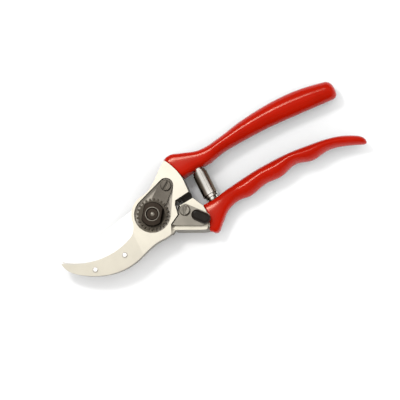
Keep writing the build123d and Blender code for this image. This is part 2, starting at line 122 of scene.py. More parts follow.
class ShearsSizes(bpy.types.PropertyGroup):
    """Sizes of the spring's coils, and the place of the camera."""

    coil_strip: length("Strip Thickness", "Thickness of the spring's strip", 0.00055)
    coil_width: length("Strip Width", "Width of the spring's strip along its axis", 0.0155)
    coil_radius: length("Coil Radius", "Outer radius of the widest coil", 0.0049)
    coil_step: length("Coil Step", "Radius that each nested coil is smaller by", 0.00058)
    coil_pitch: length("Coil Pitch", "Advance of a coil along the axis in one turn", 0.0016)
    coil_facets: IntProperty(name="Coil Facets", description="Steps round one coil", default=64, min=12)
    camera_tilt: angle("Camera Tilt", "Lean of the view from straight down", 12)
    camera_roll: angle("Camera Roll", "Turn of the shears in the view", 27.3)
    camera_distance: length("Camera Distance", "From the lens to the shears", 3.0)
    view_width: length("View Width", "Width of the picture at the shears", 0.26)


def settings():
    """The panel's colours and sizes."""
    return bpy.context.scene.shears_colours, bpy.context.scene.shears_sizes


# --- shader groups -----------------------------------------------------------------------------------


def new_group(name, inputs, outputs):
    """An empty shader group with named sockets, and its input and output nodes."""
    group = bpy.data.node_groups.new(name, "ShaderNodeTree")
    for kind, sockets in (("INPUT", inputs), ("OUTPUT", outputs)):
        for socket_name, socket_type, default in sockets:
            socket = group.interface.new_socket(
                name=socket_name, in_out=kind, socket_type="NodeSocket" + socket_type
            )
            if default is not None:
                socket.default_value = default
    return group, group.nodes.new("NodeGroupInput"), group.nodes.new("NodeGroupOutput")


def add_node(tree, kind, **values):
    """A node with its settings and unlinked inputs given by name."""
    node = tree.nodes.new("ShaderNode" + kind)
    for key, value in values.items():
        if hasattr(node, key):
            setattr(node, key, value)
        else:
            node.inputs[key.replace("_", " ").title()].default_value = value
    return node


def grain_group():
    """Fine grain: a height for bump, a roughness and a mottled mask, from two scales of noise."""
    if "Metal Grain" in bpy.data.node_groups:
        return bpy.data.node_groups["Metal Grain"]
    group, start, end = new_group(
        "Metal Grain",
        [
            ("Scale", "Float", 900.0),
            ("Stretch", "Vector", (1.0, 1.0, 1.0)),
            ("Rough Low", "Float", 0.25),
            ("Rough High", "Float", 0.45),
        ],
        [("Height", "Float", None), ("Roughness", "Float", None), ("Mottle", "Float", None)],
    )
    link = group.links.new
    place = add_node(group, "TexCoord")
    turn = add_node(group, "Mapping")
    link(place.outputs["Object"], turn.inputs["Vector"])
    link(start.outputs["Stretch"], turn.inputs["Scale"])
    fine = add_node(group, "TexNoise", detail=4.0, roughness=0.6)
    link(turn.outputs["Vector"], fine.inputs["Vector"])
    link(start.outputs["Scale"], fine.inputs["Scale"])
    broad = add_node(group, "TexNoise", scale=90.0, detail=3.0)
    link(place.outputs["Object"], broad.inputs["Vector"])
    spread = add_node(group, "MapRange")
    link(fine.outputs["Fac"], spread.inputs["Value"])
    link(start.outputs["Rough Low"], spread.inputs["To Min"])
    link(start.outputs["Rough High"], spread.inputs["To Max"])
    ramp = add_node(group, "MapRange", from_min=0.35, from_max=0.65)
    link(broad.outputs["Fac"], ramp.inputs["Value"])
    link(fine.outputs["Fac"], end.inputs["Height"])
    link(spread.outputs["Result"], end.inputs["Roughness"])
    link(ramp.outputs["Result"], end.inputs["Mottle"])
    return group


def upward_group():
    """A mask that is 1 on level faces and falls to 0 where a face turns down; it places painted shade."""
    if "Upward Faces" in bpy.data.node_groups:
        return bpy.data.node_groups["Upward Faces"]
    group, start, end = new_group(
        "Upward Faces",
        [("Level", "Float", 0.97), ("Steep", "Float", 0.5)],
        [("Mask", "Float", None)],
    )
    link = group.links.new
    shape = add_node(group, "NewGeometry")
    split = add_node(group, "SeparateXYZ")
    link(shape.outputs["Normal"], split.inputs["Vector"])
    spread = add_node(group, "MapRange", interpolation_type="SMOOTHSTEP")
    link(split.outputs["Z"], spread.inputs["Value"])
    link(start.outputs["Steep"], spread.inputs["From Min"])
    link(start.outputs["Level"], spread.inputs["From Max"])
    link(spread.outputs["Result"], end.inputs["Mask"])
    return group


def below_group():
    """A mask that is 1 under a height of the piece and 0 above it."""
    if "Under Height" in bpy.data.node_groups:
        return bpy.data.node_groups["Under Height"]
    group, start, end = new_group("Under Height", [("Height", "Float", 0.0)], [("Mask", "Float", None)])
    link = group.links.new
    place = add_node(group, "TexCoord")
    split = add_node(group, "SeparateXYZ")
    link(place.outputs["Object"], split.inputs["Vector"])
    less = add_node(group, "Math", operation="LESS_THAN")
    link(split.outputs["Z"], less.inputs[0])
    link(start.outputs["Height"], less.inputs[1])
    link(less.outputs["Value"], end.inputs["Mask"])
    return group


def put_group(tree, group, **values):
    """A group node in a material, with its inputs set by name."""
    node = tree.nodes.new("ShaderNodeGroup")
    node.node_tree = group
    for key, value in values.items():
        node.inputs[key.replace("_", " ")].default_value = value
    return node


def blend_colours(tree, mask, low, high):
    """The mix of two colours by a mask, where either colour is a value or an output."""
    mix = tree.nodes.new("ShaderNodeMix")
    mix.data_type = "RGBA"
    for side, tone in (("A", low), ("B", high)):
        socket = [item for item in mix.inputs if item.type == "RGBA" and item.name == side][0]
        if isinstance(tone, tuple):
            socket.default_value = tone
        else:
            tree.links.new(tone, socket)
    tree.links.new(mask, mix.inputs["Factor"])
    return [socket for socket in mix.outputs if socket.type == "RGBA"][0]


# --- materials ---------------------------------------------------------------------------------------

WHITE = (1.0, 1.0, 1.0, 1.0)
EVEN = (1.0, 1.0, 1.0)
# Depth of a material's bump, in metres.
BUMP_DEPTH = 0.0002


def toned(value, factor):
    """A colour made lighter or darker."""
    return tuple(min(1.0, channel * factor) for channel in value[:3]) + (1.0,)


def finish(
    name, tone, mottle, metallic, scale, rough, bump,
    stretch=EVEN, specular=0.5, tint=WHITE, sides=None, under=None, bounce=None,
):
    """A Principled material with grain, whose colour is a setting mottled with a lighter or darker tone of it.

    sides is the setting painted as shade on faces that turn down, with the normals' Z where they are level and
    steep.
    under is a height and the setting for what lies under it. bounce is the colour that its neighbours see.
    """
    if name in bpy.data.materials:
        return bpy.data.materials[name]
    colours, _ = settings()
    material = bpy.data.materials.new(name)
    material.use_nodes = True
    tree = material.node_tree
    shader = tree.nodes["Principled BSDF"]
    shader.inputs["Metallic"].default_value = metallic
    shader.inputs["Specular IOR Level"].default_value = specular
    shader.inputs["Specular Tint"].default_value = tint
    grain = put_group(tree, grain_group(), Scale=scale, Stretch=stretch, Rough_Low=rough[0], Rough_High=rough[1])
    main_tone = tuple(getattr(colours, tone))
    base = blend_colours(tree, grain.outputs["Mottle"], main_tone, toned(main_tone, mottle))
    if under:
        height, lower_tone = under
        mask = put_group(tree, below_group(), Height=height).outputs["Mask"]
        base = blend_colours(tree, mask, base, tuple(getattr(colours, lower_tone)))
    if sides:
        shade_tone, level, steep = sides
        mask = put_group(tree, upward_group(), Level=level, Steep=steep).outputs["Mask"]
        base = blend_colours(tree, mask, tuple(getattr(colours, shade_tone)), base)
    if bounce:
        base = blend_colours(tree, add_node(tree, "LightPath").outputs["Is Diffuse Ray"], base, bounce)
    tree.links.new(base, shader.inputs["Base Color"])
    tree.links.new(grain.outputs["Roughness"], shader.inputs["Roughness"])
    relief = add_node(tree, "Bump", distance=BUMP_DEPTH)
    relief.inputs["Strength"].default_value = bump
    tree.links.new(grain.outputs["Height"], relief.inputs["Height"])
    tree.links.new(relief.outputs["Normal"], shader.inputs["Normal"])
    return material


def lacquer():
    """Champagne lacquer over the hook's forging, with painted shade where it turns down at an edge."""
    return finish(
        "Champagne Lacquer", "lacquer", 0.94, metallic=0.72, scale=1400.0, rough=(0.26, 0.36), bump=0.08,
        # Painted shade on the faces that turn down.
        sides=("painted_edge_shade", 0.99, 0.7),
    )


def shaded_lacquer():
    """A copy of the lacquer a hair darker, as painted shade on the blade's forging."""
    return finish(
        "Dull Lacquer", "lacquer_painted_shade", 0.92, metallic=0.72, scale=1400.0, rough=(0.26, 0.36), bump=0.10,
        # Painted shade on the faces that turn down.
        sides=("painted_edge_shade", 0.99, 0.7),
    )


def machined_floor():
    """Bare metal where the recess is milled."""
    return finish(
        "Machined Floor", "bare_floor", 0.8, metallic=0.7, scale=1100.0, rough=(0.4, 0.55), bump=0.15
    )


def blade_steel():
    """Mirror-like ground face of the cutting blade."""
    return finish(
        "Blade Steel", "blade", 0.97, metallic=1.0, scale=700.0, rough=(0.20, 0.30), bump=0.02,
        stretch=(1.0, 14.0, 14.0),
    )


def ground_steel():
    """Ground face of the counter blade."""
    return finish(
        "Ground Steel", "counter_blade", 0.85, metallic=1.0, scale=600.0, rough=(0.25, 0.4), bump=0.08,
        stretch=(1.0, 10.0, 10.0),
    )


def plain_steel():
    """Satin steel of the small hardware."""
    return finish("Satin Steel", "steel", 0.8, metallic=1.0, scale=1100.0, rough=(0.30, 0.42), bump=0.10)


def catch_steel():
    """Brighter satin steel of the catch."""
    return finish("Catch Steel", "catch_steel", 0.85, metallic=1.0, scale=1100.0, rough=(0.30, 0.42), bump=0.10)


def dark_steel():
    """Darkened steel of the bolt."""
    return finish("Dark Steel", "dark_steel", 0.75, metallic=1.0, scale=1100.0, rough=(0.28, 0.42), bump=0.10)


def nut_steel(disc_top):
    """Dark hub over the worn, lighter disc with the teeth."""
    return finish(
        "Nut Steel", "dark_steel", 0.75, metallic=1.0, scale=1100.0, rough=(0.28, 0.42), bump=0.10,
        under=(disc_top, "disc_steel"),
    )


def vinyl():
    """Glossy dipped vinyl with a faint orange-peel skin."""
    return finish(
        "Red Vinyl", "vinyl", 0.92, metallic=0.0, scale=260.0, rough=(0.17, 0.22), bump=0.02,
        specular=0.13, tint=(1.0, 0.78, 0.62, 1.0), bounce=(0.16, 0.16, 0.16, 1.0),
    )


def black_gloss():
    """Glossy black moulding."""
    return finish(
        "Black Moulding", "black", 1.6, metallic=0.0, scale=500.0, rough=(0.16, 0.24), bump=0.02, specular=0.12
    )


def black_rubber():
    """Matt black rubber."""
    return finish(
        "Black Rubber", "black", 2.0, metallic=0.0, scale=1500.0, rough=(0.6, 0.8), bump=0.3, specular=0.15
    )


def spring_steel():
    """Bright rolled strip of the spring, with painted shade in brown on its sides."""
    return finish(
        "Spring Strip", "spring", 0.7, metallic=1.0, scale=500.0, rough=(0.08, 0.13), bump=0.03,
        # Painted shade in brown on the sides of the strip.
        stretch=(8.0, 1.0, 8.0), sides=("spring_painted_shade", 0.93, 0.55),
    )


# --- pieces ------------------------------------------------------------------------------------------

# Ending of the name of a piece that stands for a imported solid.
SKIN = "_skin"
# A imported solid's vertices nearer than this in metres are merged, and its faces flatter than this in degrees
# are joined.
MERGE_DISTANCE = 2e-6
FLAT_ANGLE = 0.6
# Angles in degrees past which an edge is shaded sharp.
SHARP_SOLID = 32.0
SHARP_STRIP = 40.0
SHARP_GRIP = 60.0


def new_piece(name, mesh, material, body):
    """An object for a finished mesh, with its material and the body it rides on."""
    piece = bpy.data.objects.new(name, mesh)
    bpy.context.scene.collection.objects.link(piece)
    mesh.materials.clear()
    mesh.materials.append(material)
    if body:
        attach(piece, body)
    return piece


def shaded(work, mesh, sharp):
    """Puts a bmesh into a mesh, smooth but for the edges that turn by more than an angle in degrees."""
    work.to_mesh(mesh)
    work.free()
    for polygon in mesh.polygons:
        polygon.use_smooth = True
    mesh.set_sharp_from_angle(angle=math.radians(sharp))
    return mesh


def dressed(node, body, material, shape=None):
    """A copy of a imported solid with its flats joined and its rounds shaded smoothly, in place of it."""
    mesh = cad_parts[node].data.copy()
    mesh.name = node + SKIN
    work = bmesh.new()
    work.from_mesh(mesh)
    bmesh.ops.remove_doubles(work, verts=work.verts, dist=MERGE_DISTANCE)
    bmesh.ops.dissolve_limit(work, angle_limit=math.radians(FLAT_ANGLE), verts=work.verts, edges=work.edges)
    if shape:
        for vertex in work.verts:
            shape(vertex.co)
    piece = new_piece(mesh.name, shaded(work, mesh, SHARP_SOLID), material, body)
    weights = piece.modifiers.new("flats", "WEIGHTED_NORMAL")
    weights.keep_sharp = True
    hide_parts(node)
    return piece


def smooth_value(points, place):
    """The value at a place of a smooth curve through points; past its ends the curve runs on straight."""
    last = len(points) - 1
    slopes = []
    for i in range(last + 1):
        (x0, y0), (x1, y1) = points[max(i - 1, 0)], points[min(i + 1, last)]
        slopes.append((y1 - y0) / (x1 - x0))
    if place <= points[0][0]:
        return points[0][1] + slopes[0] * (place - points[0][0])
    for i in range(last):
        (x0, y0), (x1, y1) = points[i], points[i + 1]
        if place <= x1:
            span = x1 - x0
            t = (place - x0) / span
            straight = y0 * (1 + 2 * t) * (1 - t) ** 2 + y1 * t * t * (3 - 2 * t)
            return straight + span * (slopes[i] * t * (1 - t) ** 2 - slopes[i + 1] * t * t * (1 - t))
    return points[last][1] + slopes[last] * (place - points[last][0])


# --- grips -------------------------------------------------------------------------------------------

# Each grip in millimetres: its edges and half height along X, its far end, the centre and radius of the
# drum that its mouth is cut by, how far the mouth is drawn back, and how far the bar moves from the middle.
HOOK_GRIP = {
    "top": [
        (20, 29.6), (27, 30.9), (33.5, 28.8), (45.5, 25.2), (61.5, 26.9), (77.5, 30.0), (100.5, 32.1),
        (121.5, 31.2), (144.5, 26.6),
    ],
    "bottom": [
        (20, 12.9), (31, 13.7), (40, 14.6), (47.5, 14.6), (59.5, 16.9), (75.5, 17.8), (93.5, 17.9),
        (115.5, 16.7), (144.5, 14.8),
    ],
    "half": [(20, 8.2), (45, 8.3), (80, 8.7), (120, 8.7), (138, 8.6), (144.5, 8.3)],
    "end": 142.4,
    "end_length": 5.0,
    "mouth": (-11.8, 7.8, 41.5),
    "cut": 1.6,
    "shift": 1.8,
}
BLADE_GRIP = {
    "top": [
        (20, -8.2), (39, -8.4), (49.5, -6.5), (60.5, -4.9), (75.5, -3.5), (94.5, -3.3), (111.5, -4.9),
        (127.5, -7.6), (137.5, -11.4), (147, -17.2),
    ],
    "bottom": [
        (20, -23.6), (27.5, -26.2), (32.9, -29.0), (38.2, -24.6), (45.0, -18.8), (53.5, -16.2), (62.5, -17.0),
        (74.5, -14.4), (85.5, -14.8), (97.5, -11.8), (108.5, -14.7), (120.5, -13.4), (130.5, -15.6),
        (147, -22.6),
    ],
    "half": [(20, 5.6), (42, 5.7), (60, 8.2), (84, 8.8), (115, 8.7), (147, 5.4)],
    "end": 145.6,
    "end_length": 4.0,
    "mouth": (6.7, -13.5, 26.7),
    "cut": 1.2,
    "shift": 1.8,
}
GRIPS = (("hook_handle_grip", "hook_side", HOOK_GRIP), ("blade_handle_grip", "blade_side", BLADE_GRIP))

# Height of the handles' middle, and where a section starts to turn from a rounded square into an oval, with
# the length that it takes, in millimetres. The powers are those of the curves' equations.
GRIP_MIDDLE = 9.0
SECTION_START = 30.0
SECTION_CHANGE = 24.0
SQUARE_POWER = 4.0
OVAL_POWER = 1.95
DOME_POWER = 2.6
# Facets round a grip, steps of its lip and dome, and the length in millimetres of a step along the hand.
GRIP_FACETS = 96
LIP_STEPS = 6
DOME_STEPS = 12
HAND_STEP = 1.2
# Radius of the mouth's lip and how far in its first ring lies, in millimetres.
LIP_RADIUS = 1.1
MOUTH_INSET = 3.0
# Least half width of a section, and the rounds in which a point of the mouth is found.
LEAST_HALF = 0.05
MOUTH_ROUNDS = 30


def edges_at(grip, x):
    """Upper and lower edge of a grip at an X."""
    return smooth_value(grip["top"], x), smooth_value(grip["bottom"], x)


def grip_point(grip, x, turn, inset=0.0, share=1.0):
    """A point of a grip's skin: square near the mouth, oval under the hand."""
    oval = min(max((x - SECTION_START) / SECTION_CHANGE, 0), 1)
    power = 2 / (SQUARE_POWER + (OVAL_POWER - SQUARE_POWER) * oval)
    across = math.copysign(abs(math.cos(turn)) ** power, math.cos(turn))
    upward = math.copysign(abs(math.sin(turn)) ** power, math.sin(turn))
    top, bottom = edges_at(grip, x)
    half_width = max((top - bottom) / 2 - inset, LEAST_HALF) * share
    half_height = max(smooth_value(grip["half"], x) - inset, LEAST_HALF) * share
    return x, (top + bottom) / 2 + half_width * across, GRIP_MIDDLE + half_height * upward


def mouth_start(grip, turn):
    """X at which a line along a grip leaves the drum of its mouth."""
    centre_x, centre_y, radius = grip["mouth"]
    x = SECTION_START
    for _ in range(MOUTH_ROUNDS):
        y = grip_point(grip, x, turn)[1]
        on_drum = centre_x + math.sqrt(max((radius - grip["cut"]) ** 2 - (y - centre_y) ** 2, 0.0))
        x = 0.5 * x + 0.5 * on_drum
    return x


def grip_rings(grip):
    """Rings of points from the mouth to the far end: a rounded lip, even rings along the hand and a dome."""
    turns = [math.tau * (index + 0.5) / GRIP_FACETS for index in range(GRIP_FACETS)]
    starts = [mouth_start(grip, turn) for turn in turns]
    lip = [(MOUTH_INSET, 0.0)]
    for index in range(LIP_STEPS + 1):
        bend = math.pi / 2 * index / LIP_STEPS
        lip.append((LIP_RADIUS * (1 - math.sin(bend)), LIP_RADIUS * (1 - math.cos(bend))))
    rings = []
    for inset, advance in lip:
        ring = [grip_point(grip, start, turn, inset) for turn, start in zip(turns, starts)]
        rings.append([(x + advance, y, z) for x, y, z in ring])
    straight_end = grip["end"] - grip["end_length"]
    count = int((straight_end - SECTION_START) / HAND_STEP)
    for index in range(1, count + 1):
        ring = []
        for turn, start in zip(turns, starts):
            begin = start + LIP_RADIUS
            ring.append(grip_point(grip, begin + (straight_end - begin) * index / count, turn))
        rings.append(ring)
    for index in range(1, DOME_STEPS):
        along = math.sin(math.pi / 2 * index / DOME_STEPS)
        share = (1 - along ** DOME_POWER) ** (1 / DOME_POWER)
        x = straight_end + grip["end_length"] * along
        rings.append([grip_point(grip, x, turn, share=share) for turn in turns])
    return rings


def grip_mesh(name, grip):
    """A dipped grip: a skin over its rings, closed at the mouth and at the tip of its dome."""
    work = bmesh.new()
    made = [[work.verts.new(Vector(point) * MM) for point in ring] for ring in grip_rings(grip)]
    tip = work.verts.new(Vector(grip_point(grip, grip["end"], 0.0, share=0.0)) * MM)
    for index in range(GRIP_FACETS):
        beside = (index + 1) % GRIP_FACETS
        for ring, after in zip(made, made[1:]):
            work.faces.new((ring[index], ring[beside], after[beside], after[index]))
        work.faces.new((made[-1][index], made[-1][beside], tip))
    work.faces.new(made[0])
    bmesh.ops.recalc_face_normals(work, faces=work.faces)
    return shaded(work, bpy.data.meshes.new(name), SHARP_GRIP)


class SHEARS_OT_grips(bpy.types.Operator):
    """Dipped vinyl grips"""

    bl_idname = "shears.grips"
    bl_label = "Grips"

    def execute(self, context):
        for node, body, grip in GRIPS:
            mesh = grip_mesh(node + SKIN, grip)
            piece = new_piece(mesh.name, mesh, vinyl(), body)
            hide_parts(node)
        return {"FINISHED"}


# --- forged handles ----------------------------------------------------------------------------------

# All in millimetres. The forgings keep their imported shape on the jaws' side of the first X, and beyond the
# second X they are drawn back with the grip's mouth, over a band beside it. What lies past the mouth by more
# than the slack is the hidden bar.
BEHIND_PIVOT = 6.0
DRAWN_BACK_FROM = 15.0
MOUTH_BAND = 4.0
MOUTH_SLACK = 0.6
# Lower edge of the blade's forging as packed and as it shows, and the Y above which nothing moves.
BODY_KEEP = -12.0
BODY_EDGE = {
    "packed": [(8.8, -19.8), (14.0, -23.0), (21.0, -26.4), (28.6, -28.8)],
    "wanted": [(8.8, -15.7), (26.0, -24.2), (30.2, -24.9)],
}
# Face of the hook's forging over the cushion: the X it starts at, the band of Y it lies in, how far it
# comes down and the length over which it does.
FACE_DROP = {"start": 15.6, "band": (1.0, 4.3), "drop": 1.5, "run": 4.0}
# The hidden bar from its start over the length of its change: vinyl beside it, and its shares of the space.
BAR_START = 33.0
BAR_CHANGE = 8.0
VINYL_WALL = 1.8
BAR_WIDTH_SHARE = 0.72
BAR_REACH_SHARE = 0.8
BAR_HEIGHT_CUT = 0.3
# Peg under the spring: its X as packed, the radius and the height that tell it from the bar, and its move.
PEG_X = 39.8
PEG_RADIUS = 2.4
PEG_PROUD = 1.0
PEG_SHIFT = 0.9


def shape_of_body(point, mouth, cut, below, lowered):
    """Moves a point of a forging that shows: its lower edge, its face over the cushion and its strip."""
    centre, radius = mouth
    x, y, _ = point / MM
    if below and y < BODY_KEEP:
        packed, wanted = smooth_value(below["packed"], x), smooth_value(below["wanted"], x)
        point.y = (BODY_KEEP + (y - BODY_KEEP) * (wanted - BODY_KEEP) / (packed - BODY_KEEP)) * MM
    if lowered and lowered["band"][0] < y < lowered["band"][1] and x > lowered["start"]:
        point.y -= lowered["drop"] * min((x - lowered["start"]) / lowered["run"], 1) * MM
    away = point.xy / MM - centre
    strip = radius - MOUTH_BAND
    if x > DRAWN_BACK_FROM and away.length > strip:
        away.length = strip + (away.length - strip) * (1 - cut / MOUTH_BAND)
        point.xy = (centre + away) * MM


def shape_of_bar(point, grip):
    """Moves a point of a handle's hidden bar or peg to stay under the grip's skin."""
    x, y, z = point / MM
    top, bottom = edges_at(grip, x)
    middle = (top + bottom) / 2
    reach = (top - bottom) / 2 - VINYL_WALL
    room = min(max((x - BAR_START) / BAR_CHANGE, 0), 1)
    if room == 0:
        point.y = min(max(y, middle - reach), middle + reach) * MM
        return
    peg = math.hypot(x - PEG_X, z - GRIP_MIDDLE) < PEG_RADIUS and abs(y - middle) > reach + PEG_PROUD
    across = (y - middle + grip["shift"]) * BAR_WIDTH_SHARE
    if not peg:
        across = min(max(across, -reach * BAR_REACH_SHARE), reach * BAR_REACH_SHARE)
    point.y = (y + (middle + across - y) * room) * MM
    point.z = (GRIP_MIDDLE + (z - GRIP_MIDDLE) * (1 - BAR_HEIGHT_CUT * room)) * MM
    if peg:
        point.x -= PEG_SHIFT * MM


def handle_shaper(grip, below=None, lowered=None):
    """A shaping of a forged handle that fits it to its grip."""
    centre_x, centre_y, radius = grip["mouth"]
    centre = Vector((centre_x, centre_y))

    def shape(point):
        x, y, _ = point / MM
        if x < BEHIND_PIVOT:
            return
        if (x - centre_x) ** 2 + (y - centre_y) ** 2 < (radius + MOUTH_SLACK) ** 2:
            shape_of_body(point, (centre, radius), grip["cut"], below, lowered)
        else:
            shape_of_bar(point, grip)

    return shape


# The recess's floor, in metres: how level and how near the nut's underside its faces are, how far from the
# pivot they reach, and the thickness of the plate over them.
FLOOR_LEVEL = 0.99
FLOOR_BAND = 0.0003
FLOOR_REACH = 0.022
FLOOR_PLATE = 0.00012


def recess_floor_plate(skin):
    """A thin bare plate over the milled floor of the recess."""
    nut_low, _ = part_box("pivot_nut")
    work = bmesh.new()
    work.from_mesh(skin.data)
    others = []
    for face in work.faces:
        middle = face.calc_center_median()
        away = abs(middle.z - nut_low[2]) > FLOOR_BAND or middle.xy.length > FLOOR_REACH
        if face.normal.z < FLOOR_LEVEL or away:
            others.append(face)
    bmesh.ops.delete(work, geom=others, context="FACES")
    grown = bmesh.ops.extrude_face_region(work, geom=work.faces[:])
    lifted = [item for item in grown["geom"] if isinstance(item, bmesh.types.BMVert)]
    bmesh.ops.translate(work, verts=lifted, vec=(0.0, 0.0, FLOOR_PLATE))
    bmesh.ops.recalc_face_normals(work, faces=work.faces)
    mesh = bpy.data.meshes.new("recess_floor")
    work.to_mesh(mesh)
    work.free()
    return new_piece("recess_floor", mesh, machined_floor(), "hook_side")


class SHEARS_OT_castings(bpy.types.Operator):
    """Lacquered forgings of the two handles"""

    bl_idname = "shears.castings"
    bl_label = "Forged Handles"

    def execute(self, context):
        hook_shape = handle_shaper(HOOK_GRIP, lowered=FACE_DROP)
        blade_shape = handle_shaper(BLADE_GRIP, below=BODY_EDGE)
        skin = dressed("hook_handle", "hook_side", lacquer(), shape=hook_shape)
        dressed("blade_handle", "blade_side", shaded_lacquer(), shape=blade_shape)
        recess_floor_plate(skin)
        return {"FINISHED"}


# --- blades ------------------------------------------------------------------------------------------


class SHEARS_OT_blades(bpy.types.Operator):
    """Cutting blade, counter blade and the rivets that hold it"""

    bl_idname = "shears.blades"
    bl_label = "Blades"

    def execute(self, context):
        dressed("cutting_blade", "blade_side", blade_steel())
        dressed("counter_blade", "hook_side", ground_steel())
        dressed("rivet_tip", "hook_side", blade_steel())
        dressed("rivet_heel", "hook_side", blade_steel())
        return {"FINISHED"}


# --- pivot, catch and cushion ------------------------------------------------------------------------

# Outlines in millimetres: the radius, and the height above the end that the piece stands on.
BOLT_POINT = [(0.0, -0.3), (1.5, -0.3), (1.45, 0.05), (0.9, 0.3), (0.0, 0.35)]
NUT_RING = [(4.1, -0.3), (4.8, -0.3), (4.8, 0.0), (4.6, 0.2), (4.3, 0.2), (4.1, 0.0)]
TURNED_FACETS = 64
# Distance in metres under which the seam and the pole of a turned piece are welded.
WELD_DISTANCE = 1e-7
# Thickness of the nut's toothed disc with a hair above it, in metres.
DISC_DEPTH = 0.0026


def turned(name, outline, base, material, body):
    """A piece spun round the pivot's axis from an outline that stands on a base height."""
    work = bmesh.new()
    corners = [work.verts.new((radius * MM, 0.0, base + height * MM)) for radius, height in outline]
    edges = [work.edges.new(pair) for pair in zip(corners, corners[1:])]
    if outline[0][0] > 0:
        edges.append(work.edges.new((corners[-1], corners[0])))
    bmesh.ops.spin(
        work,
        geom=corners + edges,
        cent=(0.0, 0.0, 0.0),
        axis=(0.0, 0.0, 1.0),
        angle=math.tau,
        steps=TURNED_FACETS,
        use_merge=True,
    )
    bmesh.ops.remove_doubles(work, verts=work.verts, dist=WELD_DISTANCE)
    bmesh.ops.dissolve_degenerate(work, dist=WELD_DISTANCE / 10, edges=work.edges)
    bmesh.ops.recalc_face_normals(work, faces=work.faces)
    return new_piece(name, shaded(work, bpy.data.meshes.new(name), SHARP_STRIP), material, body)


class SHEARS_OT_pivot(bpy.types.Operator):
    """Pivot bolt, toothed nut, locking segment and its screw"""

    bl_idname = "shears.pivot"
    bl_label = "Pivot"

    def execute(self, context):
        _, bolt_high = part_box("pivot_bolt")
        nut_low, nut_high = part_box("pivot_nut")
        dressed("pivot_bolt", "hook_side", dark_steel())
        turned("bolt_point", BOLT_POINT, bolt_high[2], catch_steel(), "hook_side")
        turned("nut_ring", NUT_RING, nut_high[2], catch_steel(), "hook_side")
        dressed("pivot_nut", "hook_side", nut_steel(nut_low[2] + DISC_DEPTH))
        dressed("lock_segment", "hook_side", plain_steel())
        dressed("segment_screw", "hook_side", plain_steel())
        return {"FINISHED"}


class SHEARS_OT_catch(bpy.types.Operator):
    """Thumb catch with its tab, screw and spring washer"""

    bl_idname = "shears.catch"
    bl_label = "Catch"

    def execute(self, context):
        dressed("thumb_catch", "catch", catch_steel())
        dressed("catch_tab", "catch", black_gloss())
        dressed("catch_screw", "blade_side", catch_steel())
        dressed("catch_spring_washer", "blade_side", plain_steel())
        return {"FINISHED"}


class SHEARS_OT_cushion(bpy.types.Operator):
    """Rubber cushion that stops the handles"""

    bl_idname = "shears.cushion"
    bl_label = "Cushion"

    def execute(self, context):
        dressed("bumper_cushion", "hook_side", black_rubber())
        return {"FINISHED"}


# --- spring ------------------------------------------------------------------------------------------

# Axis of the spring by X and Z, and its lower and upper end along Y, in metres.
SPRING_AXIS = (0.0389, 0.009)
SPRING_ENDS = (-0.0083, 0.0146)
COIL_TURNS = 1.12
# Share of the lower handle's travel that each coil takes, and how many steps narrower it is than the widest.
COILS = [(0.0, 3), (0.3264, 1), (0.5, 0), (0.6736, 2), (1.0, 4)]


def coil_mesh(name, high, radius):
    """One coil of the strip: an upright edge spun round the axis with a little advance, then thickened."""
    _, sizes = settings()
    centre_x, centre_z = SPRING_AXIS
    work = bmesh.new()
    upper = work.verts.new((centre_x + radius, high, centre_z))
    lower = work.verts.new((centre_x + radius, high - sizes.coil_width, centre_z))
    bmesh.ops.spin(
        work,
        geom=[lower, upper, work.edges.new((lower, upper))],
        cent=(centre_x, 0.0, centre_z),
        axis=(0.0, 1.0, 0.0),
        dvec=(0.0, sizes.coil_pitch / sizes.coil_facets, 0.0),
        angle=math.tau * COIL_TURNS,
        steps=int(sizes.coil_facets * COIL_TURNS),
        use_duplicate=False,
    )
    bmesh.ops.translate(work, verts=work.verts, vec=(0.0, -sizes.coil_pitch * COIL_TURNS / 2, 0.0))
    bmesh.ops.recalc_face_normals(work, faces=work.faces)
    bmesh.ops.solidify(work, geom=work.faces[:], thickness=sizes.coil_strip)
    bmesh.ops.recalc_face_normals(work, faces=work.faces)
    return shaded(work, bpy.data.meshes.new(name), SHARP_STRIP)


class SHEARS_OT_spring(bpy.types.Operator):
    """Volute spring: nested coils of strip that slide out of each other as the handles open"""

    bl_idname = "shears.spring"
    bl_label = "Spring"

    def execute(self, context):
        _, sizes = settings()
        bottom, top = SPRING_ENDS
        spread = (top - bottom - sizes.coil_width) / (len(COILS) - 1)
        bodies = {0: "hook_side", len(COILS) - 1: "blade_side"}
        for index, (share, nested) in enumerate(COILS):
            high = top - index * spread
            mesh = coil_mesh(f"spring_coil_{index + 1}", high, sizes.coil_radius - nested * sizes.coil_step)
            piece = new_piece(mesh.name, mesh, spring_steel(), bodies.get(index))
            if index == 0:
                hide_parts("volute_spring")
            if index not in bodies:
                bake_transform(piece)
        return {"FINISHED"}


# --- stage -------------------------------------------------------------------------------------------

FLOOR_SIZE = 3.0
FLOOR_ROUGHNESS = 0.9
SENSOR_WIDTH = 36.0
VIEW_DEPTH = 20.0
VIEW_CENTRE = Vector((0.0320, -0.0062, 0.0186))
# Each lamp's place by the view's right, up and height, its width in metres and its power in watts.
KEY_LAMP = ("key", (-0.40, 0.50, 1.15), 0.24, 4.2)
FILL_LAMP = ("fill", (0.9, 0.3, 0.8), 0.9, 2.0)
SHEEN_LAMP = ("sheen", (-0.40, 0.50, 1.15), 0.42, 21.0)
# Brightness of the tent on matt faces, and its tones in reflections by the height of the direction.
TENT_STRENGTH = 1.05
TENT_TONES = [
    (0.0, (0.10, 0.08, 0.06, 1.0)),
    (0.70, (0.15, 0.12, 0.10, 1.0)),
    (0.86, (0.55, 0.52, 0.48, 1.0)),
    (0.93, (1.05, 1.04, 1.02, 1.0)),
]


